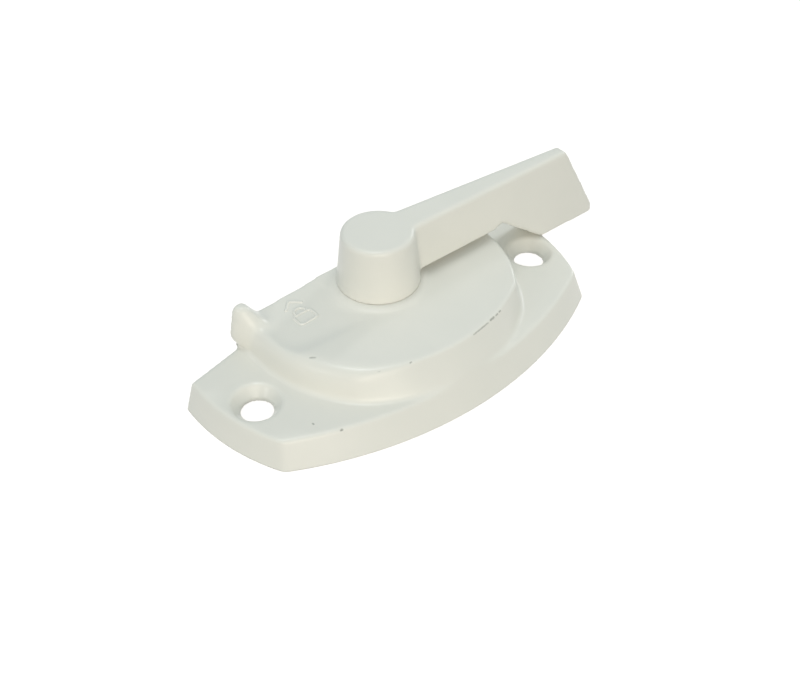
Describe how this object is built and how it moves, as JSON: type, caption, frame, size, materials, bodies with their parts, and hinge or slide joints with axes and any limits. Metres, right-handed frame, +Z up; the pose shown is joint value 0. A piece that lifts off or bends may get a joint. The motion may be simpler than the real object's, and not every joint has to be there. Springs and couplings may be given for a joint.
{
  "type": "sweep lock",
  "caption": "Cast window sweep lock: a lever on a tapered hub turns a hidden cam out through the flat back of a D-shaped base.",
  "frame": {"origin": "midway between the two screw holes, on the mounting face", "axes": "+X along the base towards the open lever's tip, +Y to the flat back where the cam comes out, +Z up from the mounting face"},
  "size_m": [0.0858, 0.0335, 0.0204],
  "materials": {
    "white_paint": "satin white enamel on cast zinc",
    "zinc_plate": "zinc plated",
    "spring_steel": "oiled spring steel"
  },
  "bodies": {
    "base": {"housing": "white_paint", "spring_washer": "spring_steel"},
    "lever": {"handle": "white_paint", "cam": "zinc_plate", "keeper_washer": "zinc_plate"}
  },
  "joints": [
    {"name": "lever_turn", "type": "hinge", "parent": "base", "child": "lever", "pos_m": [0, 0.0064, 0.008], "axis": [0, 0, -1], "range_deg": [0, 180]}
  ]
}
